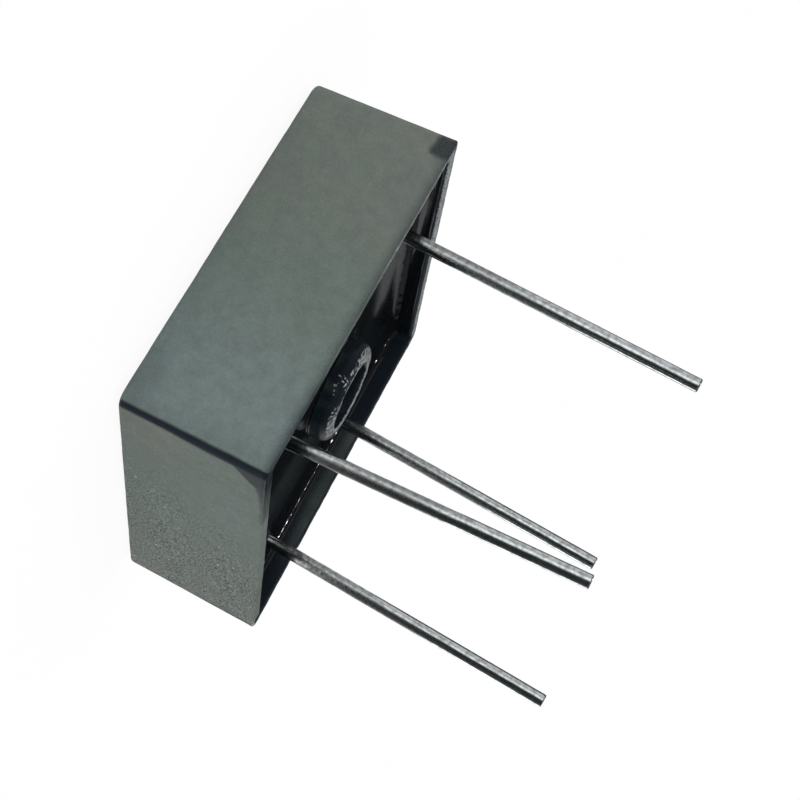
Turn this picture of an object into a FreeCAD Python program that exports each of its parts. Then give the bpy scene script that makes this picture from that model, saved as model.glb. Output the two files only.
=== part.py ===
import FreeCAD, Part

import math
import os

# A bridge rectifier: four silicon chips potted in a square moulded case with a screw hole through
# its middle and four round wire leads. Millimetres. The part stands on its metal base with the
# leads up. z = 0 is the face that is screwed to a heatsink, and the case is centred on x = y = 0.
# +Z runs up the leads. +Y runs from the negative lead to the first a.c. lead. +X runs from the
# negative lead to the second a.c. lead.

# Case: one moulding with an open top, a thin floor and a tube round the screw hole
case_side = 28.5
total_height = 11.0
wall = 1.1
draft_angle = 1.8
corner_radius = 0.9
base_edge_radius = 0.35
rim_edge_break = 0.12
cavity_corner_radius = 0.5
floor_thickness = 0.7
bore_radius = 2.665
tube_wall = 1.185
tube_end_rounding = 0.8
tube_end_slopes = 3

# Base plate: aluminium, moulded into the underside and held by a flange round its upper edge
base_plate_side = 23.8
base_plate_thickness = 2.0
base_plate_proud = 0.4
base_plate_corner = 1.5
flange_width = 0.5
flange_thickness = 0.8

# Potting: epoxy, poured to a level below the rim, which creeps up what it meets
potting_drop = 1.8
creep_height = 0.45
creep_lip = 0.12

# Chip plates: two copper plates on the floor, one for each d.c. side
chip_plate_thickness = 1.0
chip_plate_gap = 1.0
chip_plate_margin = 0.9
chip_plate_corner = 1.0
chip_plate_tube_gap = 0.3

# Chips and the solder on both their faces. A chip takes the room between the inner edge of its
# plate and the nearest lead.
chip_thickness = 0.3
chip_margin = 0.6
chip_lead_gap = 1.65
solder_thickness = 0.1
solder_inset = 0.1

# Links: copper strips with round ends, each over two chips and under one a.c. lead
link_inset = 0.2
link_thickness = 0.5

# Leads: tinned copper wire with an upset head at the bottom
lead_radius = 0.5
head_radius = 1.1
head_thickness = 0.4
head_solder_spread = 0.45
head_solder_rise = 0.3
bend_radius = 8.0
bend_rise = 0.25
tip_edge_break = 0.06

# Where the leads stand: a square layout a little off the case's centre, in which the positive
# lead is moved towards its a.c. neighbour. The insets are from the outside of the rim.
lead_inset_x = 5.25
lead_inset_y = 5.35
positive_pitch = 11.3
layout_shift_x = 0.1
layout_shift_y = -0.32

# Levels, from the heatsink face up
rim_level = total_height
case_low = base_plate_proud
floor_low = base_plate_thickness
floor_level = floor_low + floor_thickness
potting_level = rim_level - potting_drop
creep_level = potting_level + creep_height
chip_plate_top = floor_level + chip_plate_thickness
chip_low = chip_plate_top + solder_thickness
chip_top = chip_low + chip_thickness
link_low = chip_top + solder_thickness
link_top = link_low + link_thickness

# Places across the case
rim_half = case_side / 2
draft_slope = math.tan(math.radians(draft_angle))
tube_radius = bore_radius + tube_wall
left_x = layout_shift_x - (rim_half - lead_inset_x)
right_x = layout_shift_x + (rim_half - lead_inset_x)
ac1_y = layout_shift_y + (rim_half - lead_inset_y)
ac2_y = layout_shift_y - (rim_half - lead_inset_y)
positive_y = ac2_y + positive_pitch
chip_inner = chip_plate_gap / 2 + chip_margin
chip_outer = min(-left_x, right_x) - head_radius - head_solder_spread - chip_lead_gap
chip_side = chip_outer - chip_inner
chip_x = (chip_inner + chip_outer) / 2

# Each lead: where it stands, what it is soldered to, how far its tip leans in x and y, and how
# far the tip stands above the rim
leads = {
    "ac1": (left_x, ac1_y, link_top, 0.47, -0.74, 21.8),
    "ac2": (right_x, ac2_y, link_top, 0.58, -1.64, 21.6),
    "positive": (right_x, positive_y, chip_plate_top, 0.66, -1.36, 20.8),
    "negative": (left_x, ac2_y, chip_plate_top, -0.09, 0.28, 20.7),
}

# Each chip by the two leads that it joins: its place in x and y
chips = {
    "ac1_positive": (chip_x, ac1_y),
    "ac2_positive": (chip_x, ac2_y),
    "ac1_negative": (-chip_x, ac1_y),
    "ac2_negative": (-chip_x, ac2_y),
}


def outside_half(level):
    """Half the case's width at a level, between its drafted outer faces."""
    return rim_half - (rim_level - level) * draft_slope


def cavity_half(level):
    """Half the cavity's width at a level."""
    return outside_half(level) - wall


def upright_edges(shape):
    return [edge for edge in shape.Edges if edge.BoundBox.ZLength > shape.BoundBox.ZLength / 2]


def edges_at(shape, level):
    """The edges that lie flat at one level."""
    flat = [edge for edge in shape.Edges if edge.BoundBox.ZLength < 1e-6]
    return [edge for edge in flat if abs(edge.BoundBox.ZMin - level) < 1e-6]


def square_block(low_half, high_half, low, high, radius):
    """A square block with drafted sides and rounded upright edges."""
    block = Part.makeWedge(
        -low_half, low, -low_half, -high_half, -high_half,
        low_half, high, low_half, high_half, high_half,
    )
    block.rotate(FreeCAD.Vector(0, 0, 0), FreeCAD.Vector(1, 0, 0), 90)
    return block.makeFillet(radius, upright_edges(block))


def disc(x, y, low, high, radius):
    return Part.makeCylinder(radius, high - low, FreeCAD.Vector(x, y, low))


def flat_block(x_low, x_high, y_low, y_high, low, high):
    corner = FreeCAD.Vector(x_low, y_low, low)
    return Part.makeBox(x_high - x_low, y_high - y_low, high - low, corner)


def tube_core():
    """The outside of the tube round the screw hole, its end rounded in a few slopes."""
    shoulder = rim_level - tube_end_rounding
    profile = [(0, rim_level), (0, floor_level), (tube_radius, floor_level)]
    for number in range(tube_end_slopes + 1):
        angle = math.radians(90 * number / tube_end_slopes)
        out = tube_radius - tube_end_rounding * (1 - math.cos(angle))
        profile.append((out, shoulder + tube_end_rounding * math.sin(angle)))
    corners = [FreeCAD.Vector(out, 0, level) for out, level in profile]
    section = Part.Face(Part.makePolygon(corners + corners[:1]))
    return section.revolve(FreeCAD.Vector(0, 0, 0), FreeCAD.Vector(0, 0, 1), 360)


def bore():
    return disc(0, 0, 0, rim_level, bore_radius)


def cavity(high):
    """The inside of the case, from its floor to a level."""
    return square_block(
        cavity_half(floor_level), cavity_half(high), floor_level, high, cavity_corner_radius
    )


def base_plate_blank():
    """The base plate before its screw hole: the exposed block and the flange that holds it."""
    half = base_plate_side / 2
    flange_half = half + flange_width
    flange_low = base_plate_thickness - flange_thickness
    block = square_block(half, half, 0, base_plate_thickness, base_plate_corner)
    flange = square_block(
        flange_half, flange_half, flange_low, base_plate_thickness, base_plate_corner
    )
    return block.fuse(flange).removeSplitter()


def base_plate():
    return base_plate_blank().cut(bore())


def case():
    outside = square_block(
        outside_half(case_low), rim_half, case_low, rim_level, corner_radius
    )
    outside = outside.makeFillet(base_edge_radius, edges_at(outside, case_low))
    hollow = cavity(rim_level).cut(tube_core())
    moulding = outside.cut(hollow).cut(bore()).cut(base_plate_blank()).removeSplitter()
    # The rounded end of the tube needs no edge break
    rounded_radius = tube_radius - tube_end_rounding
    sharp = [
        edge for edge in edges_at(moulding, rim_level)
        if abs(edge.BoundBox.XMax - rounded_radius) > rim_edge_break
    ]
    return moulding.makeChamfer(rim_edge_break, sharp)


def chip_plate(side):
    """A copper plate with a round notch for the tube; side is 1 for positive, -1 for negative."""
    inner = chip_plate_gap / 2
    outer = cavity_half(floor_level) - chip_plate_margin
    x_low, x_high = sorted((side * inner, side * outer))
    plate = flat_block(x_low, x_high, -outer, outer, floor_level, chip_plate_top)
    plate = plate.makeFillet(chip_plate_corner, upright_edges(plate))
    notch = disc(0, 0, floor_level, chip_plate_top, tube_radius + chip_plate_tube_gap)
    # The cylinder's seam is turned into the gap between the two plates
    notch.rotate(FreeCAD.Vector(0, 0, 0), FreeCAD.Vector(0, 0, 1), 90)
    return plate.cut(notch)


def chip(x, y):
    half = chip_side / 2
    return flat_block(x - half, x + half, y - half, y + half, chip_low, chip_top)


def chip_solder(x, y, low):
    half = chip_side / 2 - solder_inset
    return flat_block(x - half, x + half, y - half, y + half, low, low + solder_thickness)


def link(x_low, x_high, y):
    """A copper strip with round ends, centred on the places that it joins."""
    half = chip_side / 2 - link_inset
    strip = flat_block(x_low, x_high, y - half, y + half, link_low, link_top)
    ends = [disc(x, y, link_low, link_top, half) for x in (x_low, x_high)]
    return strip.fuse(ends).removeSplitter()


def lead_path(x, y, foot, lean_x, lean_y, tip_level):
    """A straight rise out of the potting, a slight bend, and a straight run to the tip."""
    bend_low = creep_level + bend_rise
    lean = math.hypot(lean_x, lean_y)
    rise = tip_level - bend_low
    run = math.sqrt((lean - bend_radius) ** 2 + rise ** 2 - bend_radius ** 2)
    turn = math.atan2(run, -bend_radius) - math.atan2(rise, lean - bend_radius)

    def point(out, up):
        return FreeCAD.Vector(x + lean_x / lean * out, y + lean_y / lean * out, up)

    def on_bend(angle):
        out = bend_radius * (1 - math.cos(angle))
        return point(out, bend_low + bend_radius * math.sin(angle))

    bend = Part.Arc(point(0, bend_low), on_bend(turn / 2), on_bend(turn))
    rising = Part.LineSegment(point(0, foot), point(0, bend_low))
    leaning = Part.LineSegment(on_bend(turn), point(lean, tip_level))
    return Part.Wire([rising.toShape(), bend.toShape(), leaning.toShape()])


def lead_foot(seat):
    """The level of the underside of a lead's head, above the solder on its seat."""
    return seat + solder_thickness


def lead(x, y, seat, lean_x, lean_y, reach):
    foot = lead_foot(seat)
    path = lead_path(x, y, foot, lean_x, lean_y, rim_level + reach)
    section = Part.Wire(Part.makeCircle(lead_radius, FreeCAD.Vector(x, y, foot)))
    wire = path.makePipeShell([section], True, False)
    tip_rim = [edge for edge in wire.Edges if edge.BoundBox.ZMin > rim_level]
    tip_rim = [edge for edge in tip_rim if edge.Closed]
    wire = wire.makeChamfer(tip_edge_break, tip_rim)
    return wire.fuse(disc(x, y, foot, foot + head_thickness, head_radius)).removeSplitter()


def lead_solder(x, y, seat):
    """The pad of solder that a lead's head is bedded in."""
    low_radius = head_radius + head_solder_spread
    high = lead_foot(seat) + head_solder_rise
    pad = Part.makeCone(low_radius, head_radius, high - seat, FreeCAD.Vector(x, y, seat))
    return pad.cut(disc(x, y, lead_foot(seat), high, head_radius))


def creep_cone(x, y, radius):
    """The potting that climbs a round piece: a slope up to a blunt lip."""
    lip = radius + creep_lip
    foot = FreeCAD.Vector(x, y, potting_level)
    return Part.makeCone(lip + creep_height, lip, creep_height, foot)


def creep_at_walls():
    """The potting that climbs the case's four walls."""
    low_half = cavity_half(potting_level)
    band = square_block(
        low_half, cavity_half(creep_level), potting_level, creep_level, cavity_corner_radius
    )
    air = square_block(
        low_half - creep_lip, cavity_half(rim_level) - creep_lip, potting_level, rim_level,
        cavity_corner_radius + creep_height,
    )
    air = air.makeChamfer(creep_height, edges_at(air, potting_level))
    return band.cut(air)


def potting(buried):
    """The epoxy round everything in the case."""
    climbs = [creep_at_walls(), creep_cone(0, 0, tube_radius)]
    climbs += [creep_cone(x, y, lead_radius) for x, y, *rest in leads.values()]
    pool = cavity(potting_level).fuse(climbs)
    return pool.cut([tube_core()] + buried).removeSplitter()


def inner_pieces():
    """Everything that the potting covers, by node name."""
    pieces = {
        "positive_plate": chip_plate(1),
        "negative_plate": chip_plate(-1),
        "ac1_link": link(left_x, chip_x, ac1_y),
        "ac2_link": link(-chip_x, right_x, ac2_y),
    }
    for name, (x, y) in chips.items():
        pieces[f"chip_{name}"] = chip(x, y)
        pieces[f"chip_{name}_lower_solder"] = chip_solder(x, y, chip_plate_top)
        pieces[f"chip_{name}_upper_solder"] = chip_solder(x, y, chip_top)
    for name, place in leads.items():
        pieces[f"lead_{name}"] = lead(*place)
        pieces[f"lead_{name}_solder"] = lead_solder(*place[:3])
    return pieces


def one_solid(shape):
    """The single solid that a shape holds."""
    if len(shape.Solids) != 1:
        raise ValueError(f"expected one solid, found {len(shape.Solids)}")
    return shape.Solids[0]


def build():
    pieces = inner_pieces()
    pieces["potting"] = potting(list(pieces.values()))
    pieces["case"] = case()
    pieces["base_plate"] = base_plate()
    return {name: one_solid(shape) for name, shape in pieces.items()}


os.makedirs("parts", exist_ok=True)
for node, solid in build().items():
    solid.exportStep(f"parts/{node}.step")
    print(f"{node}: {solid.Volume:.2f} mm3, valid {solid.isValid()}")
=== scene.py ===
import itertools
import math

import bmesh
import bpy
import numpy as np
from mathutils import Matrix, Vector


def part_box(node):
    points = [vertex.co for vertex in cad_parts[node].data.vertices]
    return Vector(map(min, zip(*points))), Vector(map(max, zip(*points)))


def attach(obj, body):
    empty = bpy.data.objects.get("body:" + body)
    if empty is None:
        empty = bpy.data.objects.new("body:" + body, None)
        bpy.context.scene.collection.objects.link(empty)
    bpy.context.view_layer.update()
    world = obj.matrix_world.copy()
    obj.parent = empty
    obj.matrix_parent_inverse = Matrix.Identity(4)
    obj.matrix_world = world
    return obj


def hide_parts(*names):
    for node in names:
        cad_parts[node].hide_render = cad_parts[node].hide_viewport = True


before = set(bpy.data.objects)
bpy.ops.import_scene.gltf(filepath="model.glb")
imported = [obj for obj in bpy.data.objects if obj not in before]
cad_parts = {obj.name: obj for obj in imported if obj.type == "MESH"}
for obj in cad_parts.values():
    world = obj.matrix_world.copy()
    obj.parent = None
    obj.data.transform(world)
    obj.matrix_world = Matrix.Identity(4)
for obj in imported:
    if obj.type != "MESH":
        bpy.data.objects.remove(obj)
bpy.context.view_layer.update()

# A bridge rectifier: a square moulded case, potted with black epoxy round a screw tube and four
# tinned wire leads. Sizes are in millimetres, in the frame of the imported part, and MM turns them
# into metres.
MM = 0.001


def corners(node):
    """The lowest and highest corner of a node of the frame."""
    return [np.array(corner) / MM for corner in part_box(node)]


# Levels and widths that the frame gives
case_box = corners("case")
plate_box = corners("base_plate")
potting_box = corners("potting")
rim_level = case_box[1][2]
rim_half = case_box[1][0]
case_low = case_box[0][2]
plate_top = plate_box[1][2]
flange_half = plate_box[1][0]
floor_level = potting_box[0][2]

# Case
wall = 1.1
draft_slope = math.tan(math.radians(1.8))
corner_radius = 0.9
cavity_corner = 0.5
base_edge = 0.35
rim_edge = 0.14
bore_radius = 2.665
tube_radius = 3.85
tube_rounding = 0.8
bore_edge = 0.07
side_wear = 0.012
rim_wear = 0.016

# Base plate
flange_width = 0.5
flange_thickness = 0.8
plate_corner = 1.5
plate_edge = 0.15

# Potting: its flat level, how far it climbs what it meets, over what width, how high the thin film
# that it leaves there reaches, and how much of the film is wiped off the wall towards +x
potting_level = rim_level - 1.8
wall_climb = 0.48
wall_reach = 0.4
tube_climb = 0.25
tube_reach = 0.3
lead_climb = 0.3
lead_reach = 0.22
film_level = rim_level - 0.25
tube_film_level = potting_level + 0.38
film_thickness = 0.02
wiped_by = 0.95

# Leads
lead_radius = 0.5
head_radius = 1.1
head_thickness = 0.4
head_edge = 0.05
bend_level = 9.9
bend_radius = 8.0
tip_edge = 0.07

# On the case's sides: the lower edge of a smear without skin, how bare it is from its third point
# on, and a painted glint on the rim
smear_x = (-14.2, -13.1, -12.6, -11.6, -9.8, -6.5, -5.0)
smear_z = (8.0, 8.8, 9.2, 10.2, 10.6, 10.65, 11.1)
smear_depth = (1.0, 0.72, 0.58, 0.42, 0.0)
painted_glint_place = (-13.05, -5.35, 11.0)

lead_names = ("lead_ac1", "lead_ac2", "lead_positive", "lead_negative")

# How finely the meshes are divided. The wires' rings lie close together from a little below the
# potting's level up, and the potting's rows widen away from the wall and the tube.
side_points = 120
corner_points = 16
wire_points = 48
wire_step = 0.09
coarse_until = 1.0
first_row = 0.03
row_growth = 1.22
growing_rows = 12
widest_row = 0.24


def steps(start, end, count):
    """Evenly spaced values with a count of steps between them, both ends included."""
    return np.linspace(start, end, count + 1)


def outside_half(level):
    """Half the width over the case's drafted sides at a level."""
    return rim_half - (rim_level - level) * draft_slope


def cavity_half(level):
    """Half the width of the cavity at a level."""
    return outside_half(level) - wall


lattice = np.random.default_rng(7).uniform(-1, 1, (32, 32, 32))


def ripple(points, size, seed):
    """Smooth noise from -1 to 1 at points, with bumps of about one size."""
    place = points / size + seed * 7.3
    cell = np.floor(place).astype(int)
    part = place - cell
    part = part * part * (3 - 2 * part)
    total = np.zeros(len(points))
    for step in itertools.product((0, 1), repeat=3):
        corner = (cell + step) % lattice.shape[0]
        weight = np.abs(1 - np.array(step) - part).prod(axis=1)
        total += lattice[tuple(corner.T)] * weight
    return total


def ripples(points, size, seed):
    """The same noise along each axis."""
    return np.stack([ripple(points, size, seed + axis * 3) for axis in range(3)], axis=1)


def blend(value, low, high):
    """0 below low, 1 above high, and a smooth change between them."""
    share = np.clip((value - low) / (high - low), 0, 1)
    return share * share * (3 - 2 * share)


def loop(half, corner):
    """Points round a square with rounded corners, or round a circle if the corner is the half."""
    count = side_points + corner_points
    if corner >= half:
        places = (np.arange(4 * count) - corner_points / 2) / count
        angles = np.radians(45 + 90 * places)
        return half * np.stack([np.cos(angles), np.sin(angles)], axis=1)
    points = []
    for quarter in range(4):
        angles = np.radians(quarter * 90 + steps(0, 90, corner_points))
        middle = np.radians(quarter * 90 + 45)
        centre = (half - corner) * np.sign([math.cos(middle), math.sin(middle)])
        arc = centre + corner * np.stack([np.cos(angles), np.sin(angles)], axis=1)
        onward = np.array([-math.sin(angles[-1]), math.cos(angles[-1])])
        side = arc[-1] + np.outer(steps(0, 2 * (half - corner), side_points)[1:-1], onward)
        points += [arc, side]
    return np.concatenate(points)


def ring(half, corner, level):
    """The loop at a level."""
    flat = loop(half, corner)
    return np.column_stack([flat, np.full(len(flat), level)])


def rounding(offset, level, radius, start, end):
    """The places of a rounded edge in a section, as offsets and levels."""
    angles = np.radians(steps(start, end, 5))
    return [(offset + radius * math.cos(turn), level + radius * math.sin(turn)) for turn in angles]


def put_in(name, data):
    """A new object in the scene for a mesh, a lamp or a camera."""
    piece = bpy.data.objects.new(name, data)
    bpy.context.scene.collection.objects.link(piece)
    return piece


def skin(name, rings, joined):
    """A closed mesh over rings: the last joined to the first, or a cap at each end."""
    count = len(rings[0])
    points = np.concatenate(rings) * MM
    faces = []
    for number in range(len(rings) if joined else len(rings) - 1):
        low = number * count
        high = (number + 1) % len(rings) * count
        for here in range(count):
            there = (here + 1) % count
            faces.append((low + here, low + there, high + there, high + here))
    if not joined:
        faces.append(tuple(range(count))[::-1])
        faces.append(tuple(range(len(points) - count, len(points))))
    mesh = bpy.data.meshes.new(name)
    mesh.from_pydata(points.tolist(), [], faces)
    piece = put_in(name, mesh)
    settle(mesh)
    return piece


def settle(mesh):
    """Turns the faces outwards and shades them smooth except across sharp edges."""
    shape = bmesh.new()
    shape.from_mesh(mesh)
    bmesh.ops.recalc_face_normals(shape, faces=shape.faces)
    shape.to_mesh(mesh)
    shape.free()
    mesh.shade_smooth()
    mesh.set_sharp_from_angle(angle=math.radians(40))


def mark(piece, name, values):
    """Stores a value at each point of a piece for its material."""
    attribute = piece.data.attributes.new(name, "FLOAT", "POINT")
    attribute.data.foreach_set("value", np.asarray(values, dtype=np.float32))


def case_rings():
    """The section of the case swept round: out and up the sides, over the rim, down the cavity, up
    the tube, down the bore, and round the base plate's seat."""
    rings = []
    for half, level in rounding(
        outside_half(case_low + base_edge) - base_edge, case_low + base_edge, base_edge, -90, 0
    ):
        rings.append(ring(half, corner_radius, level))
    for level in steps(case_low + base_edge, rim_level - rim_edge, 48)[1:-1]:
        rings.append(ring(outside_half(level), corner_radius, level))
    for half, level in rounding(rim_half - rim_edge, rim_level - rim_edge, rim_edge, 0, 90):
        rings.append(ring(half, corner_radius, level))
    inner_half = rim_half - wall
    for share in steps(0, 1, 10)[1:-1]:
        half = rim_half - rim_edge - share * (wall - 2 * rim_edge)
        corner = corner_radius + share * (cavity_corner - corner_radius)
        rings.append(ring(half, corner, rim_level))
    for half, level in rounding(inner_half + rim_edge, rim_level - rim_edge, rim_edge, 90, 180):
        rings.append(ring(half, cavity_corner, level))
    for level in [*steps(rim_level - rim_edge, potting_level, 10)[1:], floor_level]:
        rings.append(ring(cavity_half(level), cavity_corner, level))
    rings.append(ring(2 * tube_radius, tube_radius, floor_level))
    shoulder = rim_level - tube_rounding
    for level in [floor_level, *steps(potting_level, shoulder, 8)[:-1]]:
        rings.append(ring(tube_radius, tube_radius, level))
    for angle in np.radians(steps(0, 90, 14)):
        radius = tube_radius - tube_rounding * (1 - math.cos(angle))
        rings.append(ring(radius, radius, shoulder + tube_rounding * math.sin(angle)))
    lip = bore_radius + bore_edge
    for radius in steps(tube_radius - tube_rounding, lip, 4)[1:-1]:
        rings.append(ring(radius, radius, rim_level))
    for radius, level in rounding(lip, rim_level - bore_edge, bore_edge, 90, 180):
        rings.append(ring(radius, radius, level))
    for level in [rim_level - bore_edge - 0.03, *steps(rim_level - bore_edge, plate_top, 20)[1:]]:
        rings.append(ring(bore_radius, bore_radius, level))
    rings.append(ring(2 * tube_radius, tube_radius, plate_top))
    flange_low = plate_top - flange_thickness
    plate_half = flange_half - flange_width
    rings.append(ring(flange_half, plate_corner, plate_top))
    rings.append(ring(flange_half, plate_corner, flange_low))
    rings.append(ring(plate_half, plate_corner, flange_low))
    rings.append(ring(plate_half, plate_corner, case_low))
    return rings


def make_case():
    """The moulded case, with slightly worn edges and the marks that its material shows, among them
    painted shade and a painted glint.
    """
    rings = case_rings()
    exact = np.concatenate(rings)
    flat = np.abs(exact[:, :2]).max(axis=1)
    outside = blend(flat, rim_half - 0.8, rim_half - 0.5)
    top = blend(exact[:, 2], rim_level - 0.4, rim_level - 0.1)
    wear = ripples(exact, 2.6, 1) + 0.6 * ripples(exact, 0.7, 2)
    amount = side_wear * outside + rim_wear * top
    points = exact + amount[:, None] * wear + (rim_wear * top)[:, None] * ripples(exact, 0.25, 3)
    piece = skin("case_moulding", np.split(points, len(rings)), True)
    # Bare compound with painted shade, and rubbed grain with a painted glint, kept for the material
    bare_and_shade = bare_and_shaded_places(exact)
    mark(piece, "bare_and_shade", bare_and_shade)
    mark(piece, "worn_and_glint", worn_and_glint_places(exact))
    mark(piece, "coarse", coarse_places(exact) * (1 - blend(bare_and_shade, 0.25, 0.7)))
    mark(piece, "tint", tint_places(exact))
    return piece


def bare_and_shaded_places(points):
    """How dark the case is: 0 under whole skin, 1 where the smooth dark compound shows, and the same
    dark colour as painted shade.
    """
    parts = (
        painted_shade_on_corners, painted_shade_and_light_inside, painted_shade_on_rim_top, below_rim, missing_patch, painted_shade_and_dark_half, missing_smear
    )
    return np.max([bareness(points) for bareness in parts], axis=0)


def painted_shade_on_corners(points):
    """Painted shade: a dark band round the upright corners, from the side across y round to the side
    across x, a little narrower low down.
    """
    x, y, z = points.T
    half = outside_half(z)
    past_x, past_y = np.abs(x) - half + corner_radius, np.abs(y) - half + corner_radius
    turn = np.degrees(np.arctan2(np.maximum(past_y, 0), past_x))
    uneven = ripple(points, 1.2, 30)
    along = np.radians(np.minimum(turn, 90) - 65) * corner_radius + np.maximum(-past_x, 0)
    lower = 0.22 * (1 - blend(z, 3.5, 7.0))
    band = blend(turn + 4 * uneven, 22, 60) * (1 - blend(along + lower + 0.05 * uneven, 0.1, 0.85))
    return band * ((np.hypot(past_x, past_y) > 0.8 * corner_radius) & (past_y > 0))


def painted_shade_and_light_inside(points):
    """All of the inner walls, tube and bore: the smooth dark compound, made darker as painted shade in
    the recess, a little less round the tube, and lighter on the wall towards +x as painted light."""
    x, y, z = points.T
    side = np.maximum(np.abs(x), np.abs(y))
    inside = 1 - blend(side, rim_half - wall + 0.04, rim_half - wall + 0.18)
    inside *= 1 - 0.16 * (np.hypot(x, y) < 5) * (1 + ripple(points, 0.8, 34))
    # Painted light on the wall towards +x, strongest near its top
    pale = (x > rim_half - wall - 0.3) * (1 - blend(y, 3, 6)) * (0.45 + 0.55 * blend(y, -10, -4))
    cloudy = 1 + 0.25 * ripple(points, 1.5, 39)
    return inside * (1 - 0.44 * pale * (0.55 + 0.45 * blend(z, 9.8, 10.6)) * cloudy)


def painted_shade_on_rim_top(points):
    """Painted shade on the rim's flat top on the two sides across x, as a dim light from above leaves
    it: full towards +x and half towards -x.
    """
    x, y, z = points.T
    across = rim_half - np.maximum(np.abs(x), np.abs(y))
    far = (x > rim_half - wall - 0.2) * blend(across, 0.15, 0.5)
    near = (0.62 - 0.27 * blend(y, -8, -4)) * (x < -rim_half + wall + 0.2)
    return blend(z, rim_level - 0.2, rim_level - 0.02) * np.maximum(far, near)


def below_rim(points):
    """Darker towards the rim on the side towards -x, a little more so towards -y."""
    x, y, z = points.T
    edge = (0.5 + 0.08 * blend(-y, 6, 10)) * np.clip(1 - (rim_level - z) / 1.2, 0, 1)
    return edge * (x < -rim_half + 0.3)


def ragged(points):
    """How far the edge of a break in the skin strays."""
    return 0.3 * ripple(points, 0.9, 31) + 0.12 * ripple(points, 0.3, 32)


def missing_patch(points):
    """A break in the skin at the upper corner between the sides towards -x and +y."""
    x, y, z = points.T
    stray = ragged(points)
    patch = 0.67 * blend(y + stray, 11.5, 12.3) * blend(z + stray, 9.3, 10.0)
    return patch * (x < -rim_half + 0.6)


def painted_shade_and_dark_half(points):
    """Painted shade low down and beside the corner on the side towards -x, and darker over the half
    towards +x of the side towards -y."""
    x, y, z = points.T
    low = (1 - blend(z, 1.2, 4)) * (0.2 + 0.15 * blend(-y, 6, 12)) * (1 - blend(y, -2, 3))
    across_x = (x < -rim_half + 1) * np.maximum(low, 0.28 * blend(-y, 11.8, 13.4))
    return np.maximum(across_x, 0.22 * blend(x, -1, 6) * blend(z, 1, 4) * (-y > np.abs(x)))


def missing_smear(points):
    """A long break in the skin under the rim, on the side towards -y."""
    x, y, z = points.T
    curve = np.interp(x, smear_x, smear_z)
    depth = np.interp(x, smear_x[2:], smear_depth)
    edge = blend(z + 0.4 * ragged(points) - curve, -0.15, 0.3)
    return depth * edge * (np.abs(y) > np.abs(x)) * (y < 0)


def worn_and_glint_places(points):
    """Where edges are rubbed to a pale grain, above 1 where the grain leaves no gaps, and a painted
    glint on the rim.
    """
    # A painted glint: a small pale spot on the rim's inner edge towards -x
    painted_glint = 1 - blend(np.linalg.norm((points - painted_glint_place) * [1, 0.7, 1], axis=1), 0.12, 0.25)
    return np.max([rubbed_rim(points), rubbed_tube(points), 1.6 * painted_glint], axis=0)


def rubbed_rim(points):
    """The rim: its outer part towards +y and +x, and its inner edge towards -x."""
    x, y, z = points.T
    across = rim_half - np.maximum(np.abs(x), np.abs(y))
    top = blend(z, rim_level - 0.16, rim_level - 0.04)
    uneven = 0.12 * ripple(points, 0.5, 33)
    far_y = 0.4 + 0.25 * ripple(points, 0.5, 38)
    far_y -= 0.5 * blend(across + uneven, wall - 0.3, wall - 0.15)
    far_y *= (y > rim_half - wall - 0.2) * blend(x, -13.3, -12.7)
    far_x = (x > rim_half - wall - 0.2) * 0.8 * (1 - blend(across + uneven, 0.1, 0.4))
    near_x = (x < 0) * blend(across + uneven, wall - 0.5, wall - 0.3)
    near_x *= 0.9 * blend(y, 0, 5) + 0.1
    return top * np.max([far_y, far_x, 0.8 * near_x], axis=0) * (np.hypot(x, y) > 8)


def towards(points, azimuth, low, high):
    """Which points lie in one direction from the tube's middle, by the cosine of their angle to it."""
    angle = np.degrees(np.arctan2(points[:, 1], points[:, 0]))
    return blend(np.cos(np.radians(angle - azimuth)), low, high)


def rubbed_tube(points):
    """The tube: a thin line round the bore, a coarser grain over two parts of its rounded end, and a
    few scratches on its side."""
    x, y, z = points.T
    radius = np.hypot(x, y)
    lip = 2.6 * (1 - blend(radius, bore_radius + 0.09, bore_radius + 0.16))
    lip = np.maximum(lip, 1.1 * (1 - blend(radius, bore_radius + 0.1, bore_radius + 0.45)))
    lip *= blend(z, rim_level - 0.09, rim_level - 0.03)
    on_tube = radius < tube_radius + 0.3
    ends = towards(points, 128, 0.5, 0.95) + towards(points, -95, 0.6, 1.0)
    grainy = 0.6 * (blend(z, rim_level - 0.5, rim_level - 0.1) * on_tube) * ends
    scratched = towards(points, -165, 0.93, 0.99) * on_tube
    scratched *= 1.2 * blend(ripple(points, 0.13, 37), 0.35, 0.6) * blend(z, 9.9, 10.3)
    return np.max([lip, grainy, scratched], axis=0)


def coarse_places(points):
    """How coarse the grain is: finer on the two sides across x, coarse on those across y."""
    x, y, z = points.T
    fading = blend(x - 0.5 * z + 2 * ripple(points, 3.0, 35), -9, 2)
    across_y = (np.abs(y) > np.abs(x)) & (np.abs(y) > outside_half(z) - 0.2)
    return 0.12 + across_y * (0.08 + 0.95 * fading)


def tint_places(points):
    """The skin's tint, from 0 warm through 0.5 green to 1 blue."""
    x, y, z = points.T
    across_x = 0.25 + 0.75 * blend(-y, -9, 15)
    across_y = 0.5 - 0.4 * (1 - blend(np.hypot((x + 12.5) / 5, (z - 3) / 4), 0.2, 1.1))
    across_y -= 0.25 * blend(x, -2, 8)
    cloudy = 0.16 * ripple(points, 4.0, 36)
    return np.where(np.abs(x) > np.abs(y), across_x, across_y) + cloudy


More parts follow.
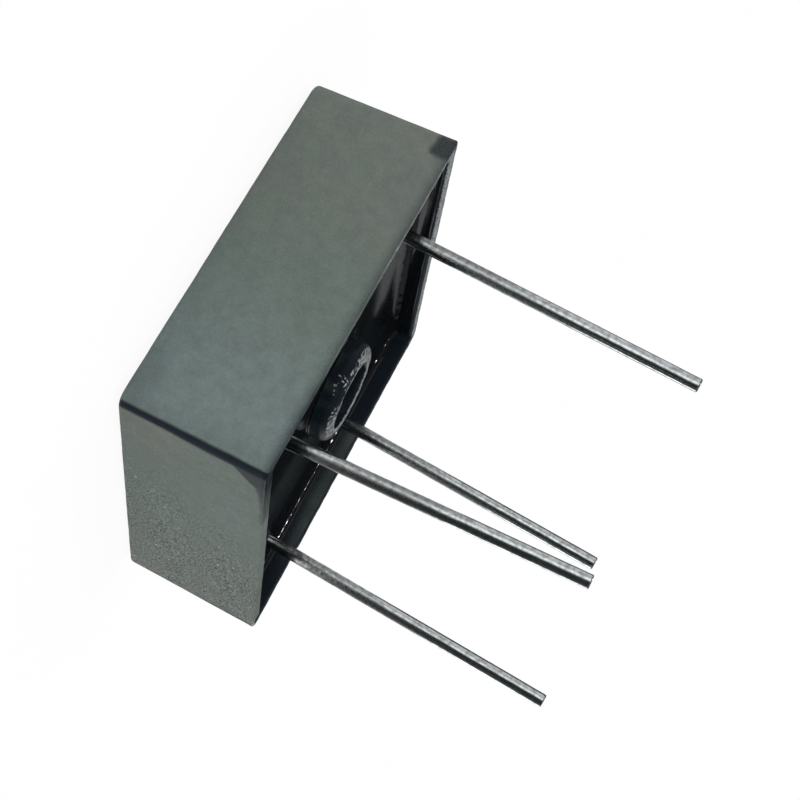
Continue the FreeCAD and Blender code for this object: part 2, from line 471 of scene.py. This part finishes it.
def climb(points):
    """How far the potting stands above its flat level at each point."""
    gaps = cavity_half(potting_level) - np.abs(points[:, :2])
    flat = np.column_stack([points[:, :2], np.zeros(len(points))])
    uneven = 1 + 0.07 * ripple(flat, 1.1, 5) + 0.08 * ripple(flat, 0.4, 6)
    height = wall_climb * np.exp(-np.maximum(gaps, 0) / wall_reach).sum(axis=1) * uneven
    tube_gap = np.hypot(points[:, 0], points[:, 1]) - tube_radius
    height += tube_climb * np.exp(-np.maximum(tube_gap, 0) / tube_reach) * uneven
    for name in lead_names:
        foot = lead_places[name][0]
        gap = np.hypot(points[:, 0] - foot[0], points[:, 1] - foot[1]) - lead_radius
        height += lead_climb * np.exp(-np.maximum(gap, 0) / lead_reach)
    return height + 0.003 * ripple(flat, 3.5, 4)


def make_potting():
    """The potting: a flat pool that climbs the walls, the tube and the leads, with a thin film above."""
    span = cavity_half(potting_level) - tube_radius
    fine = np.cumsum(first_row * row_growth ** np.arange(growing_rows))
    middle = np.arange(fine[-1], span - fine[-1], widest_row)[1:]
    stations = np.concatenate([[0], fine, middle, span - fine[::-1], [span]]) / span
    wall_loop = ring(cavity_half(potting_level), cavity_corner, potting_level)
    tube_loop = ring(tube_radius, tube_radius, potting_level)
    surface = []
    for share in stations:
        points = wall_loop + share * (tube_loop - wall_loop)
        points[:, 2] += climb(points)
        surface.append(points)
    wiped = film_level - wiped_by * blend(surface[0][:, 0], 12.4, 13.0)
    wall_film = film_rings(surface[0], wiped, cavity_half, cavity_corner, -1, 8)
    tube_film = film_rings(surface[-1], tube_film_level, lambda level: tube_radius, None, 1, 9)
    under = [
        ring(tube_radius, tube_radius, floor_level),
        ring(2 * tube_radius, tube_radius, floor_level),
        ring(cavity_half(floor_level), cavity_corner, floor_level),
    ]
    surface[0] = fit_wall(surface[0])
    return skin("potting_epoxy", [*wall_film, *surface, *tube_film[::-1], *under], True)


def fit_wall(points):
    """Points moved out to the drafted wall at their own level, where a meniscus ends."""
    scale = cavity_half(points[:, 2]) / cavity_half(potting_level)
    return points * np.column_stack([scale, scale, np.ones(len(points))])


def film_rings(foot, top_level, half_at, corner, inward, seed):
    """The thin film from its uneven top edge down to the pool, on a wall or on the tube."""
    flat = np.column_stack([foot[:, :2], np.zeros(len(foot))])
    top = top_level + 0.03 * ripple(flat, 1.6, seed) + 0.02 * ripple(flat, 0.5, seed + 1)
    rings = []
    for share in (0, 0.04, 0.15, 0.35, 0.6, 0.85):
        level = top + share * (foot[:, 2] - top)
        middle_level = float(level.mean())
        size = half_at(middle_level)
        points = ring(size, corner or size, middle_level)
        points[:, 2] = level
        thickness = film_thickness * blend(share, -0.001, 0.1) * (1 + 0.2 * ripple(points, 1.2, 11))
        across = 1 + inward * thickness / size
        points[:, 0] *= across
        points[:, 1] *= across
        rings.append(points)
    return rings


def middle_of(node, low, high):
    """The middle of those points of a node that lie between two levels."""
    points = np.array([vertex.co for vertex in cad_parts[node].data.vertices]) / MM
    chosen = points[(points[:, 2] >= low) & (points[:, 2] <= high)]
    return (chosen.min(axis=0) + chosen.max(axis=0)) / 2


def lead_place(node):
    """Where a lead's foot and tip are."""
    low, high = corners(node)
    foot = middle_of(node, low[2] - 0.01, low[2] + 0.01)
    tip = middle_of(node, high[2] - 0.1, high[2])
    tip[2] = high[2]
    return foot, tip


lead_places = {name: lead_place(name) for name in lead_names}


def lead_line(foot, tip):
    """The line of a lead: a straight rise, a slight bend, and a straight run to the tip."""
    lean = math.hypot(tip[0] - foot[0], tip[1] - foot[1])
    out = np.array([tip[0] - foot[0], tip[1] - foot[1], 0]) / lean
    rise = tip[2] - bend_level
    run = math.sqrt((lean - bend_radius) ** 2 + rise ** 2 - bend_radius ** 2)
    turn = math.atan2(run, -bend_radius) - math.atan2(rise, lean - bend_radius)
    length = bend_level - foot[2] + bend_radius * turn + run
    depth = potting_level - foot[2]
    buried = steps(0, depth - coarse_until, 8)
    shown = np.arange(depth - (coarse_until - 0.1), length, wire_step)
    line = []
    for along in [*buried, *shown, length]:
        beyond = along - (bend_level - foot[2])
        angle = min(max(beyond / bend_radius, 0), turn)
        straight = beyond - bend_radius * angle
        sideways = bend_radius * (1 - math.cos(angle)) + straight * math.sin(angle)
        upwards = bend_radius * math.sin(angle) + straight * math.cos(angle)
        axis = out * math.sin(angle) + np.array([0, 0, math.cos(angle)])
        centre = foot + out * sideways + np.array([0, 0, bend_level - foot[2] + upwards])
        line.append((along, centre, axis))
    return out, line


def wire_ring(centre, axis, out, radius):
    """Points round a wire, on a circle across its axis."""
    side = np.cross(axis, out)
    side /= np.linalg.norm(side)
    front = np.cross(side, axis)
    angles = np.linspace(0, 2 * math.pi, wire_points, endpoint=False)
    return centre + radius * (np.outer(np.cos(angles), front) + np.outer(np.sin(angles), side))


def make_lead(node, seed):
    """A lead: an upset head, and a wire whose tinned coat is a little uneven, cut off at its tip."""
    foot, tip = lead_places[node]
    out, line = lead_line(foot, tip)
    rings = []
    up = np.array([0, 0, 1.0])
    for radius, level in (
        (head_radius - head_edge, 0), (head_radius, head_edge),
        (head_radius, head_thickness - head_edge), (head_radius - head_edge, head_thickness),
        (lead_radius, head_thickness + 0.02),
    ):
        rings.append(wire_ring(foot + up * level, up, out, radius))
    length = line[-1][0]
    for along, centre, axis in line:
        if head_thickness + 0.1 < along and length - along >= tip_edge:
            rings.append(wire_ring(centre, axis, out, lead_radius))
    centre, axis = line[-1][1:]
    for radius, back in (
        (lead_radius, tip_edge), (lead_radius - 0.02, 0.03),
        (lead_radius - tip_edge, 0), (lead_radius / 2, 0),
    ):
        rings.append(wire_ring(centre - axis * back, axis, out, radius))
    points = np.concatenate(rings)
    shown = blend(points[:, 2], potting_level - 0.5, potting_level + 0.3)
    stretched = points * [1, 1, 0.4]
    lumps = 0.006 * ripples(stretched, 0.55, seed) + 0.003 * ripples(points, 0.22, seed + 1)
    points += shown[:, None] * lumps * [1, 1, 0.2]
    return skin(node + "_wire", np.split(points, len(rings)), False)


def make_base_plate():
    """The stamped base plate: rolled edges below, its flange, and the screw hole."""
    plate_half = flange_half - flange_width
    flange_low = plate_top - flange_thickness
    rings = []
    for half, level in rounding(plate_half - plate_edge, plate_edge, plate_edge, -90, 0):
        rings.append(ring(half, plate_corner, level))
    rings.append(ring(plate_half, plate_corner, flange_low))
    rings.append(ring(flange_half, plate_corner, flange_low))
    rings.append(ring(flange_half, plate_corner, plate_top))
    rings.append(ring(bore_radius * 3, bore_radius, plate_top))
    for level in steps(plate_top, plate_edge, 6)[:-1]:
        rings.append(ring(bore_radius, bore_radius, level))
    for radius, level in rounding(bore_radius + plate_edge, plate_edge, plate_edge, 180, 270):
        rings.append(ring(radius, radius, level))
    for share in steps(0, 1, 8)[1:-1]:
        start = ring(bore_radius + plate_edge, bore_radius + plate_edge, 0)
        end = ring(plate_half - plate_edge, plate_corner, 0)
        rings.append(start + share * (end - start))
    return skin("base_plate_stamping", rings, True)


# Materials


def colour(code):
    """An sRGB hex colour as linear red, green, blue and alpha."""
    linear = []
    for place in (1, 3, 5):
        value = int(code[place:place + 2], 16) / 255
        linear.append(value / 12.92 if value <= 0.04045 else ((value + 0.055) / 1.055) ** 2.4)
    return (*linear, 1.0)


# A mix node has several sockets of each name, so its colour sockets go by their number
MIX_A, MIX_B, MIX_RESULT = 6, 7, 2


def add(tree, kind, inputs=None, **settings):
    """Adds a node with its settings, and sets or links its inputs."""
    node = tree.nodes.new(kind)
    for name, value in settings.items():
        setattr(node, name, value)
    for name, value in (inputs or {}).items():
        if isinstance(value, bpy.types.NodeSocket):
            tree.links.new(value, node.inputs[name])
        else:
            node.inputs[name].default_value = value
    return node


def new_material(name):
    """A material with an empty tree, its object coordinates and its output."""
    material = bpy.data.materials.new(name)
    material.use_nodes = True
    tree = material.node_tree
    tree.nodes.clear()
    place = add(tree, "ShaderNodeTexCoord").outputs["Object"]
    return material, tree, place


def show(tree, shader):
    """Puts a shader on the surface."""
    add(tree, "ShaderNodeOutputMaterial", {"Surface": shader})


def per_mm(size):
    """The scale of a pattern whose features are one size apart."""
    return 1 / (size * MM)


def clouded_skin(tree, place):
    """The matt skin's colour: its tint, with darker clouds in it."""
    tint = add(tree, "ShaderNodeAttribute", attribute_name="tint")
    skin_tint = add(tree, "ShaderNodeValToRGB", {"Fac": tint.outputs["Fac"]})
    stops = skin_tint.color_ramp.elements
    stops.new(0.5)
    for stop, (position, code) in zip(stops, ((0, "#777A73"), (0.5, "#6F7D74"), (1, "#798A88"))):
        stop.position = position
        stop.color = colour(code)
    mottle = add(
        tree, "ShaderNodeTexNoise",
        {"Vector": place, "Scale": per_mm(0.9), "Detail": 5.0, "Roughness": 0.7},
    )
    cloud = add(
        tree, "ShaderNodeMapRange",
        {"Value": mottle.outputs["Fac"], "From Min": 0.35, "From Max": 0.65, "To Max": 0.36},
    )
    clouded = add(
        tree, "ShaderNodeMix",
        {"Factor": cloud.outputs["Result"], MIX_A: skin_tint.outputs["Color"],
         MIX_B: colour("#545D5A")},
        data_type="RGBA",
    )
    return clouded.outputs[MIX_RESULT]


def grainy_skin(tree, skin_colour, grain, coarse):
    """The skin's colour with dark and pale grains, stronger where the mould was coarse."""
    for low, high, code, share in ((0.5, 0.68, "#2B3235", 1.0), (0.5, 0.3, "#A9B0AA", 0.55)):
        amount = add(
            tree, "ShaderNodeMapRange",
            {"Value": grain, "From Min": low, "From Max": high, "To Max": share},
        )
        amount = add(
            tree, "ShaderNodeMath", {0: amount.outputs["Result"], 1: coarse}, operation="MULTIPLY"
        )
        grainy = add(
            tree, "ShaderNodeMix",
            {"Factor": amount.outputs["Value"], MIX_A: skin_colour, MIX_B: colour(code)},
            data_type="RGBA",
        )
        skin_colour = grainy.outputs[MIX_RESULT]
    return skin_colour


def broken_mask(tree, name, pattern, strength, low, high):
    """A stored value turned into a mask, whose edge a pattern breaks up."""
    field = add(tree, "ShaderNodeAttribute", attribute_name=name)
    breaks = add(
        tree, "ShaderNodeMapRange",
        {"Value": pattern, "From Min": 0.4, "From Max": 0.6, "To Min": 1 - strength,
         "To Max": 1 + strength},
    )
    broken = add(
        tree, "ShaderNodeMath", {0: breaks.outputs["Result"], 1: field.outputs["Fac"]},
        operation="MULTIPLY",
    )
    mask = add(
        tree, "ShaderNodeMapRange",
        {"Value": broken.outputs["Value"], "From Min": low, "From Max": high},
        interpolation_type="SMOOTHSTEP",
    )
    return mask.outputs["Result"]


def filler_specks(tree, place, coarse):
    """Where pale filler shows: a few small round specks, where the mould was coarse."""
    specks = add(
        tree, "ShaderNodeTexVoronoi", {"Vector": place, "Scale": per_mm(0.42)}, feature="F1"
    )
    chance = add(tree, "ShaderNodeSeparateColor", {"Color": specks.outputs["Color"]})
    reach = add(
        tree, "ShaderNodeMapRange",
        {"Value": chance.outputs["Red"], "From Min": 0.72, "From Max": 1.0, "To Max": 0.3},
    )
    inside = add(
        tree, "ShaderNodeMath", {0: reach.outputs["Result"], 1: specks.outputs["Distance"]},
        operation="SUBTRACT",
    )
    speck = add(
        tree, "ShaderNodeMapRange",
        {"Value": inside.outputs["Value"], "From Min": 0.02, "From Max": 0.1, "To Max": 0.7},
    )
    speck = add(
        tree, "ShaderNodeMath", {0: speck.outputs["Result"], 1: coarse}, operation="MULTIPLY"
    )
    return speck.outputs["Value"]


def moulded_epoxy():
    """Flame-retardant epoxy moulding compound from a spark-eroded mould: a matt grey-green skin, grainy
    where the mould was coarse, over a smooth dark body that shows where the skin is missing, and a pale
    grain where edges are rubbed. The dark body's colour is also painted shade at the upright corners, on
    the rim's top, low down and inside the cavity, and the pale grain also a painted glint on the rim.
    The grain is drawn coarser than life, so that it shows at all."""
    material, tree, place = new_material("moulded_epoxy")
    coarse = add(tree, "ShaderNodeAttribute", attribute_name="coarse").outputs["Fac"]
    grain = add(
        tree, "ShaderNodeTexNoise",
        {"Vector": place, "Scale": per_mm(0.15), "Detail": 2.0, "Roughness": 0.7},
    )
    dragged = add(tree, "ShaderNodeMapping", {"Vector": place, "Scale": (1.0, 0.5, 1.0)})
    scuffs = add(
        tree, "ShaderNodeTexNoise",
        {"Vector": dragged.outputs["Vector"], "Scale": per_mm(0.15), "Detail": 1.0},
    )
    bare_and_shade = broken_mask(tree, "bare_and_shade", grain.outputs["Fac"], 0.04, 0.12, 0.88)
    worn_and_glint = broken_mask(tree, "worn_and_glint", scuffs.outputs["Fac"], 0.85, 0.25, 0.7)
    speck = filler_specks(tree, place, coarse)
    skin_colour = grainy_skin(tree, clouded_skin(tree, place), grain.outputs["Fac"], coarse)
    # The dark colour is the bare compound and painted shade; the pale grain is rubbed edges and a
    # painted glint
    for mask, code in ((bare_and_shade, "#17212B"), (worn_and_glint, "#9DA0A2"), (speck, "#C4C8C2")):
        masked = add(
            tree, "ShaderNodeMix",
            {"Factor": mask, MIX_A: skin_colour, MIX_B: colour(code)}, data_type="RGBA",
        )
        skin_colour = masked.outputs[MIX_RESULT]
    smooth = add(tree, "ShaderNodeMath", {0: bare_and_shade, 1: worn_and_glint}, operation="SUBTRACT")
    gloss = add(tree, "ShaderNodeMapRange", {"Value": bare_and_shade, "To Min": 0.5, "To Max": 0.12})
    roughness = add(
        tree, "ShaderNodeMapRange",
        {"Value": smooth.outputs["Value"], "To Min": 0.72, "To Max": 0.38},
    )
    bump = add(
        tree, "ShaderNodeBump",
        {"Height": grain.outputs["Fac"], "Strength": 0.5, "Distance": 0.02 * MM},
    )
    shader = add(
        tree, "ShaderNodeBsdfPrincipled",
        {
            "Base Color": skin_colour, "Roughness": roughness.outputs["Result"], "IOR": 1.5,
            "Specular IOR Level": gloss.outputs["Result"], "Normal": bump.outputs["Normal"],
        },
    )
    show(tree, shader.outputs["BSDF"])
    return material


def potting_epoxy():
    """Black epoxy, poured and cured: nearly black in itself, with a wet gloss that shows the room."""
    material, tree, place = new_material("potting_epoxy")
    flow = add(tree, "ShaderNodeTexNoise", {"Vector": place, "Scale": per_mm(2.5), "Detail": 2.0})
    haze = add(
        tree, "ShaderNodeMapRange",
        {"Value": flow.outputs["Fac"], "To Min": 0.05, "To Max": 0.12},
    )
    bump = add(
        tree, "ShaderNodeBump",
        {"Height": flow.outputs["Fac"], "Strength": 0.1, "Distance": 0.02 * MM},
    )
    shader = add(
        tree, "ShaderNodeBsdfPrincipled",
        {
            "Base Color": colour("#111417"), "Roughness": haze.outputs["Result"], "IOR": 1.5,
            "Normal": bump.outputs["Normal"],
        },
    )
    show(tree, shader.outputs["BSDF"])
    return material


def tinned_wire():
    """Copper wire with a hot-dipped tin coat: a bright grey metal with drawn lines along it and dull
    patches, so that its reflections break up."""
    material, tree, place = new_material("tinned_wire")
    drawn = add(tree, "ShaderNodeMapping", {"Vector": place, "Scale": (1.0, 1.0, 0.06)})
    lines = add(
        tree, "ShaderNodeTexNoise",
        {"Vector": drawn.outputs["Vector"], "Scale": per_mm(0.12), "Detail": 3.0},
    )
    dull = add(tree, "ShaderNodeTexNoise", {"Vector": place, "Scale": per_mm(0.35), "Detail": 3.0})
    tin = add(tree, "ShaderNodeValToRGB", {"Fac": dull.outputs["Fac"]})
    tin.color_ramp.elements[0].position = 0.35
    tin.color_ramp.elements[0].color = colour("#B2B3B1")
    tin.color_ramp.elements[1].position = 0.6
    tin.color_ramp.elements[1].color = colour("#E2E3E3")
    roughness = add(
        tree, "ShaderNodeMapRange",
        {"Value": dull.outputs["Fac"], "From Min": 0.3, "From Max": 0.7, "To Min": 0.2,
         "To Max": 0.12},
    )
    bump = add(
        tree, "ShaderNodeBump",
        {"Height": lines.outputs["Fac"], "Strength": 0.3, "Distance": 0.008 * MM},
    )
    shader = add(
        tree, "ShaderNodeBsdfPrincipled",
        {
            "Base Color": tin.outputs["Color"], "Roughness": roughness.outputs["Result"],
            "Metallic": 1.0, "Normal": bump.outputs["Normal"],
        },
    )
    show(tree, shader.outputs["BSDF"])
    return material


def brushed_metal(name, light, dark, roughness_low, roughness_high, line_gap):
    """Metal finished in one direction: fine lines along x, brighter and darker by turns."""
    material, tree, place = new_material(name)
    drawn = add(tree, "ShaderNodeMapping", {"Vector": place, "Scale": (0.03, 1.0, 1.0)})
    lines = add(
        tree, "ShaderNodeTexNoise",
        {"Vector": drawn.outputs["Vector"], "Scale": per_mm(line_gap), "Detail": 4.0},
    )
    tone = add(tree, "ShaderNodeValToRGB", {"Fac": lines.outputs["Fac"]})
    tone.color_ramp.elements[0].position = 0.35
    tone.color_ramp.elements[0].color = colour(dark)
    tone.color_ramp.elements[1].position = 0.65
    tone.color_ramp.elements[1].color = colour(light)
    roughness = add(
        tree, "ShaderNodeMapRange",
        {"Value": lines.outputs["Fac"], "To Min": roughness_low, "To Max": roughness_high},
    )
    bump = add(
        tree, "ShaderNodeBump",
        {"Height": lines.outputs["Fac"], "Strength": 0.4, "Distance": 0.01 * MM},
    )
    shader = add(
        tree, "ShaderNodeBsdfPrincipled",
        {
            "Base Color": tone.outputs["Color"], "Roughness": roughness.outputs["Result"],
            "Metallic": 1.0, "Normal": bump.outputs["Normal"],
        },
    )
    show(tree, shader.outputs["BSDF"])
    return material


# The pieces


def dress(piece, material, node):
    """Gives a piece its material, its node of the frame and the body that it moves with."""
    piece.data.materials.clear()
    piece.data.materials.append(material)
    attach(piece, "root")
    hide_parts(node)


wire = tinned_wire()
aluminium = brushed_metal("rolled_aluminium", "#D9DBDC", "#C3C6C8", 0.3, 0.45, 0.25)
copper = brushed_metal("rolled_copper", "#D98A66", "#B8694A", 0.3, 0.45, 0.25)
silicon = brushed_metal("lapped_silicon", "#5C6168", "#474C54", 0.2, 0.35, 0.1)
solder = brushed_metal("soft_solder", "#BFC1C2", "#A2A5A7", 0.35, 0.5, 0.4)

dress(make_case(), moulded_epoxy(), "case")
dress(make_potting(), potting_epoxy(), "potting")
dress(make_base_plate(), aluminium, "base_plate")
for number, lead_name in enumerate(lead_names):
    dress(make_lead(lead_name, 20 + 5 * number), wire, lead_name)

for node_name, node_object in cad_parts.items():
    if node_object.hide_render:
        continue
    if "plate" in node_name or "link" in node_name:
        finish_of_node = copper
    elif "solder" in node_name:
        finish_of_node = solder
    else:
        finish_of_node = silicon
    for material_slot in node_object.material_slots:
        material_slot.material = finish_of_node


# Floor, surroundings, light and camera

# The floor lies a hair below the base plate, so that the two aren't in one plane. Most of what is
# seen of it glows white, and the rest takes the part's shadow.
floor_radius = 900.0
floor_sides = 96
floor_gap = 0.02
floor_glow = 1.02
glow_share = 0.92

# The paper screen and the dim room, which only reflections show. The screen changes its shades at
# one level.
screen_radius = 75.0
screen_height = 46.0
screen_sides = 96
change_level = 16.8
room_radius = 700.0
room_shade = 0.12

# How bright the screen is, by degrees round the part from about the camera's side: low down, where
# the upright leads mirror it, and higher up, where the potting does
screen_azimuth = 203.6
low_shades = (
    (-180, 1.0), (-135, 0.5), (-118, 0.25), (-104, 0.14), (-75, 0.05), (-42, 0.03), (-20, 0.06),
    (0, 0.27), (12, 0.5), (22, 0.72), (35, 0.62), (50, 0.4), (70, 0.3), (91, 0.28), (117, 0.28),
    (140, 0.5), (180, 1.0),
)
high_shades = (
    (-180, 0.004), (-160, 0.01), (-145, 1.0), (-127, 2.4), (-112, 1.0), (-104, 0.14), (-75, 0.05),
    (-42, 0.03), (-10, 0.04), (0, 0.4), (10, 1.15), (26, 1.15), (42, 0.6), (65, 0.6), (95, 0.7),
    (140, 0.02), (180, 0.004),
)

# Light: how bright the white all round is, and the lamp
sky_light = 0.8
lamp_width = 22.0
lamp_power = 0.2
lamp_place = (100, 175, 450)
lamp_target = (0, 0, 10)

# The camera, as solved from the photograph: its place, the directions of its picture and its lens
camera_place = (-118.597, -56.923, 28.912)
camera_right = (-0.0997, 0.429, 0.89778)
camera_down = (0.44077, -0.78988, 0.42639)
camera_forward = (0.89207, 0.43823, -0.11034)
focal_length = 83.859
sensor_width = 36.0


def surroundings(name, shape):
    """A piece of the surroundings from a shape."""
    mesh = bpy.data.meshes.new(name)
    shape.to_mesh(mesh)
    shape.free()
    return put_in(name, mesh)


def seen_directly(tree):
    """1 for what the camera or a reflection sees, and 0 for what only lights the part."""
    path = add(tree, "ShaderNodeLightPath")
    seen = add(
        tree, "ShaderNodeMath",
        {0: path.outputs["Is Camera Ray"], 1: path.outputs["Is Glossy Ray"]}, operation="ADD",
    )
    seen = add(
        tree, "ShaderNodeMath",
        {0: seen.outputs["Value"], 1: path.outputs["Is Transmission Ray"]}, operation="ADD",
        use_clamp=True,
    )
    return seen.outputs["Value"]


def make_floor():
    """A pale floor: white to the eye and in reflections, with the part's faint shadow."""
    shape = bmesh.new()
    bmesh.ops.create_circle(shape, cap_ends=True, segments=floor_sides, radius=floor_radius * MM)
    floor = surroundings("floor", shape)
    floor.location.z = -floor_gap * MM
    material, tree = new_material("white_paper")[:2]
    paper = add(tree, "ShaderNodeBsdfDiffuse", {"Color": colour("#F2F2F2")})
    glow = add(tree, "ShaderNodeEmission", {"Color": colour("#FFFFFF"), "Strength": floor_glow})
    share = add(
        tree, "ShaderNodeMath", {0: seen_directly(tree), 1: glow_share}, operation="MULTIPLY"
    )
    mixed = add(
        tree, "ShaderNodeMixShader",
        {0: share.outputs["Value"], 1: paper.outputs["BSDF"], 2: glow.outputs["Emission"]},
    )
    show(tree, mixed.outputs["Shader"])
    floor.data.materials.append(material)


def gloss_only(piece):
    """Hides a piece of the surroundings from all but reflections."""
    piece.visible_camera = False
    piece.visible_diffuse = False
    piece.visible_transmission = False
    piece.visible_shadow = False


def shade_round(tree, fraction, shades):
    """Brightnesses round the part as a faintly blue colour ramp, at half their strength."""
    ramp = add(tree, "ShaderNodeValToRGB", {"Fac": fraction})
    stops = ramp.color_ramp.elements
    while len(stops) < len(shades):
        stops.new(0.5)
    for stop, (degrees, brightness) in zip(stops, shades):
        stop.position = (degrees + 180) / 360
        stop.color = (0.475 * brightness, 0.5 * brightness, 0.51 * brightness, 1.0)
    return ramp.outputs["Color"]


def make_screen():
    """A paper screen round the part, lit more on some sides than others."""
    angles = np.linspace(0, 2 * math.pi, screen_sides, endpoint=False)
    foot = screen_radius * MM * np.column_stack([np.cos(angles), np.sin(angles), 0 * angles])
    points = np.concatenate([foot, foot + [0, 0, screen_height * MM]])
    faces = []
    for here in range(screen_sides):
        there = (here + 1) % screen_sides
        faces.append((here, there, there + screen_sides, here + screen_sides))
    mesh = bpy.data.meshes.new("screen")
    mesh.from_pydata(points.tolist(), [], faces)
    screen = put_in("screen", mesh)
    material, tree, place = new_material("screen_paper")
    turned = add(
        tree, "ShaderNodeMapping",
        {"Vector": place, "Scale": (1.0, -1.0, 1.0),
         "Rotation": (0.0, 0.0, math.radians(screen_azimuth))},
    )
    around = add(
        tree, "ShaderNodeTexGradient", {"Vector": turned.outputs["Vector"]}, gradient_type="RADIAL"
    )
    height = add(tree, "ShaderNodeSeparateXYZ", {"Vector": place})
    high = add(
        tree, "ShaderNodeMapRange",
        {"Value": height.outputs["Z"], "From Min": (change_level - 0.5) * MM,
         "From Max": (change_level + 0.5) * MM},
    )
    shade = add(
        tree, "ShaderNodeMix",
        {"Factor": high.outputs["Result"],
         MIX_A: shade_round(tree, around.outputs["Fac"], low_shades),
         MIX_B: shade_round(tree, around.outputs["Fac"], high_shades)},
        data_type="RGBA",
    )
    glow = add(tree, "ShaderNodeEmission", {"Color": shade.outputs[MIX_RESULT], "Strength": 2.0})
    show(tree, glow.outputs["Emission"])
    mesh.materials.append(material)
    gloss_only(screen)


def make_room():
    """A dim room beyond the lamp, so that the potting mirrors little from above."""
    shape = bmesh.new()
    bmesh.ops.create_uvsphere(shape, u_segments=48, v_segments=24, radius=room_radius * MM)
    room = surroundings("room", shape)
    material, tree = new_material("room_walls")[:2]
    glow = add(
        tree, "ShaderNodeEmission",
        {"Color": (room_shade, room_shade, room_shade, 1.0), "Strength": 1.0},
    )
    show(tree, glow.outputs["Emission"])
    room.data.materials.append(material)
    gloss_only(room)


def make_world():
    """Even white light from all round, and a white background behind the part."""
    world = bpy.data.worlds.new("studio")
    world.use_nodes = True
    tree = world.node_tree
    tree.nodes.clear()
    light = add(tree, "ShaderNodeBackground", {"Color": colour("#FFFFFF"), "Strength": sky_light})
    white = add(tree, "ShaderNodeBackground", {"Color": colour("#FFFFFF"), "Strength": 1.0})
    mixed = add(
        tree, "ShaderNodeMixShader",
        {0: seen_directly(tree), 1: light.outputs["Background"], 2: white.outputs["Background"]},
    )
    add(tree, "ShaderNodeOutputWorld", {"Surface": mixed.outputs["Shader"]})
    bpy.context.scene.world = world


def aim(thing, place, target):
    """Puts a lamp at a place and turns it to a target."""
    away = Vector(place) - Vector(target)
    thing.location = Vector(place) * MM
    thing.rotation_mode = "QUATERNION"
    thing.rotation_quaternion = away.to_track_quat("Z", "Y")


def make_lamp():
    """A small lamp overhead, which glints on the potting's curved edges."""
    lamp = bpy.data.lights.new("desk_lamp", "AREA")
    lamp.shape = "DISK"
    lamp.size = lamp_width * MM
    lamp.energy = lamp_power
    aim(put_in("desk_lamp", lamp), lamp_place, lamp_target)


def make_camera():
    """The photograph's camera: low beside the part and rolled, so that the leads point down right."""
    lens = bpy.data.cameras.new("camera")
    lens.sensor_width = sensor_width
    lens.lens = focal_length
    lens.clip_start = 0.01
    lens.clip_end = 10.0
    camera = put_in("camera", lens)
    turned = Matrix([
        [camera_right[axis], -camera_down[axis], -camera_forward[axis]] for axis in range(3)
    ])
    camera.rotation_mode = "QUATERNION"
    camera.rotation_quaternion = turned.to_quaternion()
    camera.location = np.array(camera_place) * MM
    bpy.context.scene.camera = camera


make_floor()
make_screen()
make_room()
make_world()
make_lamp()
make_camera()
bpy.context.scene.view_settings.view_transform = "Standard"
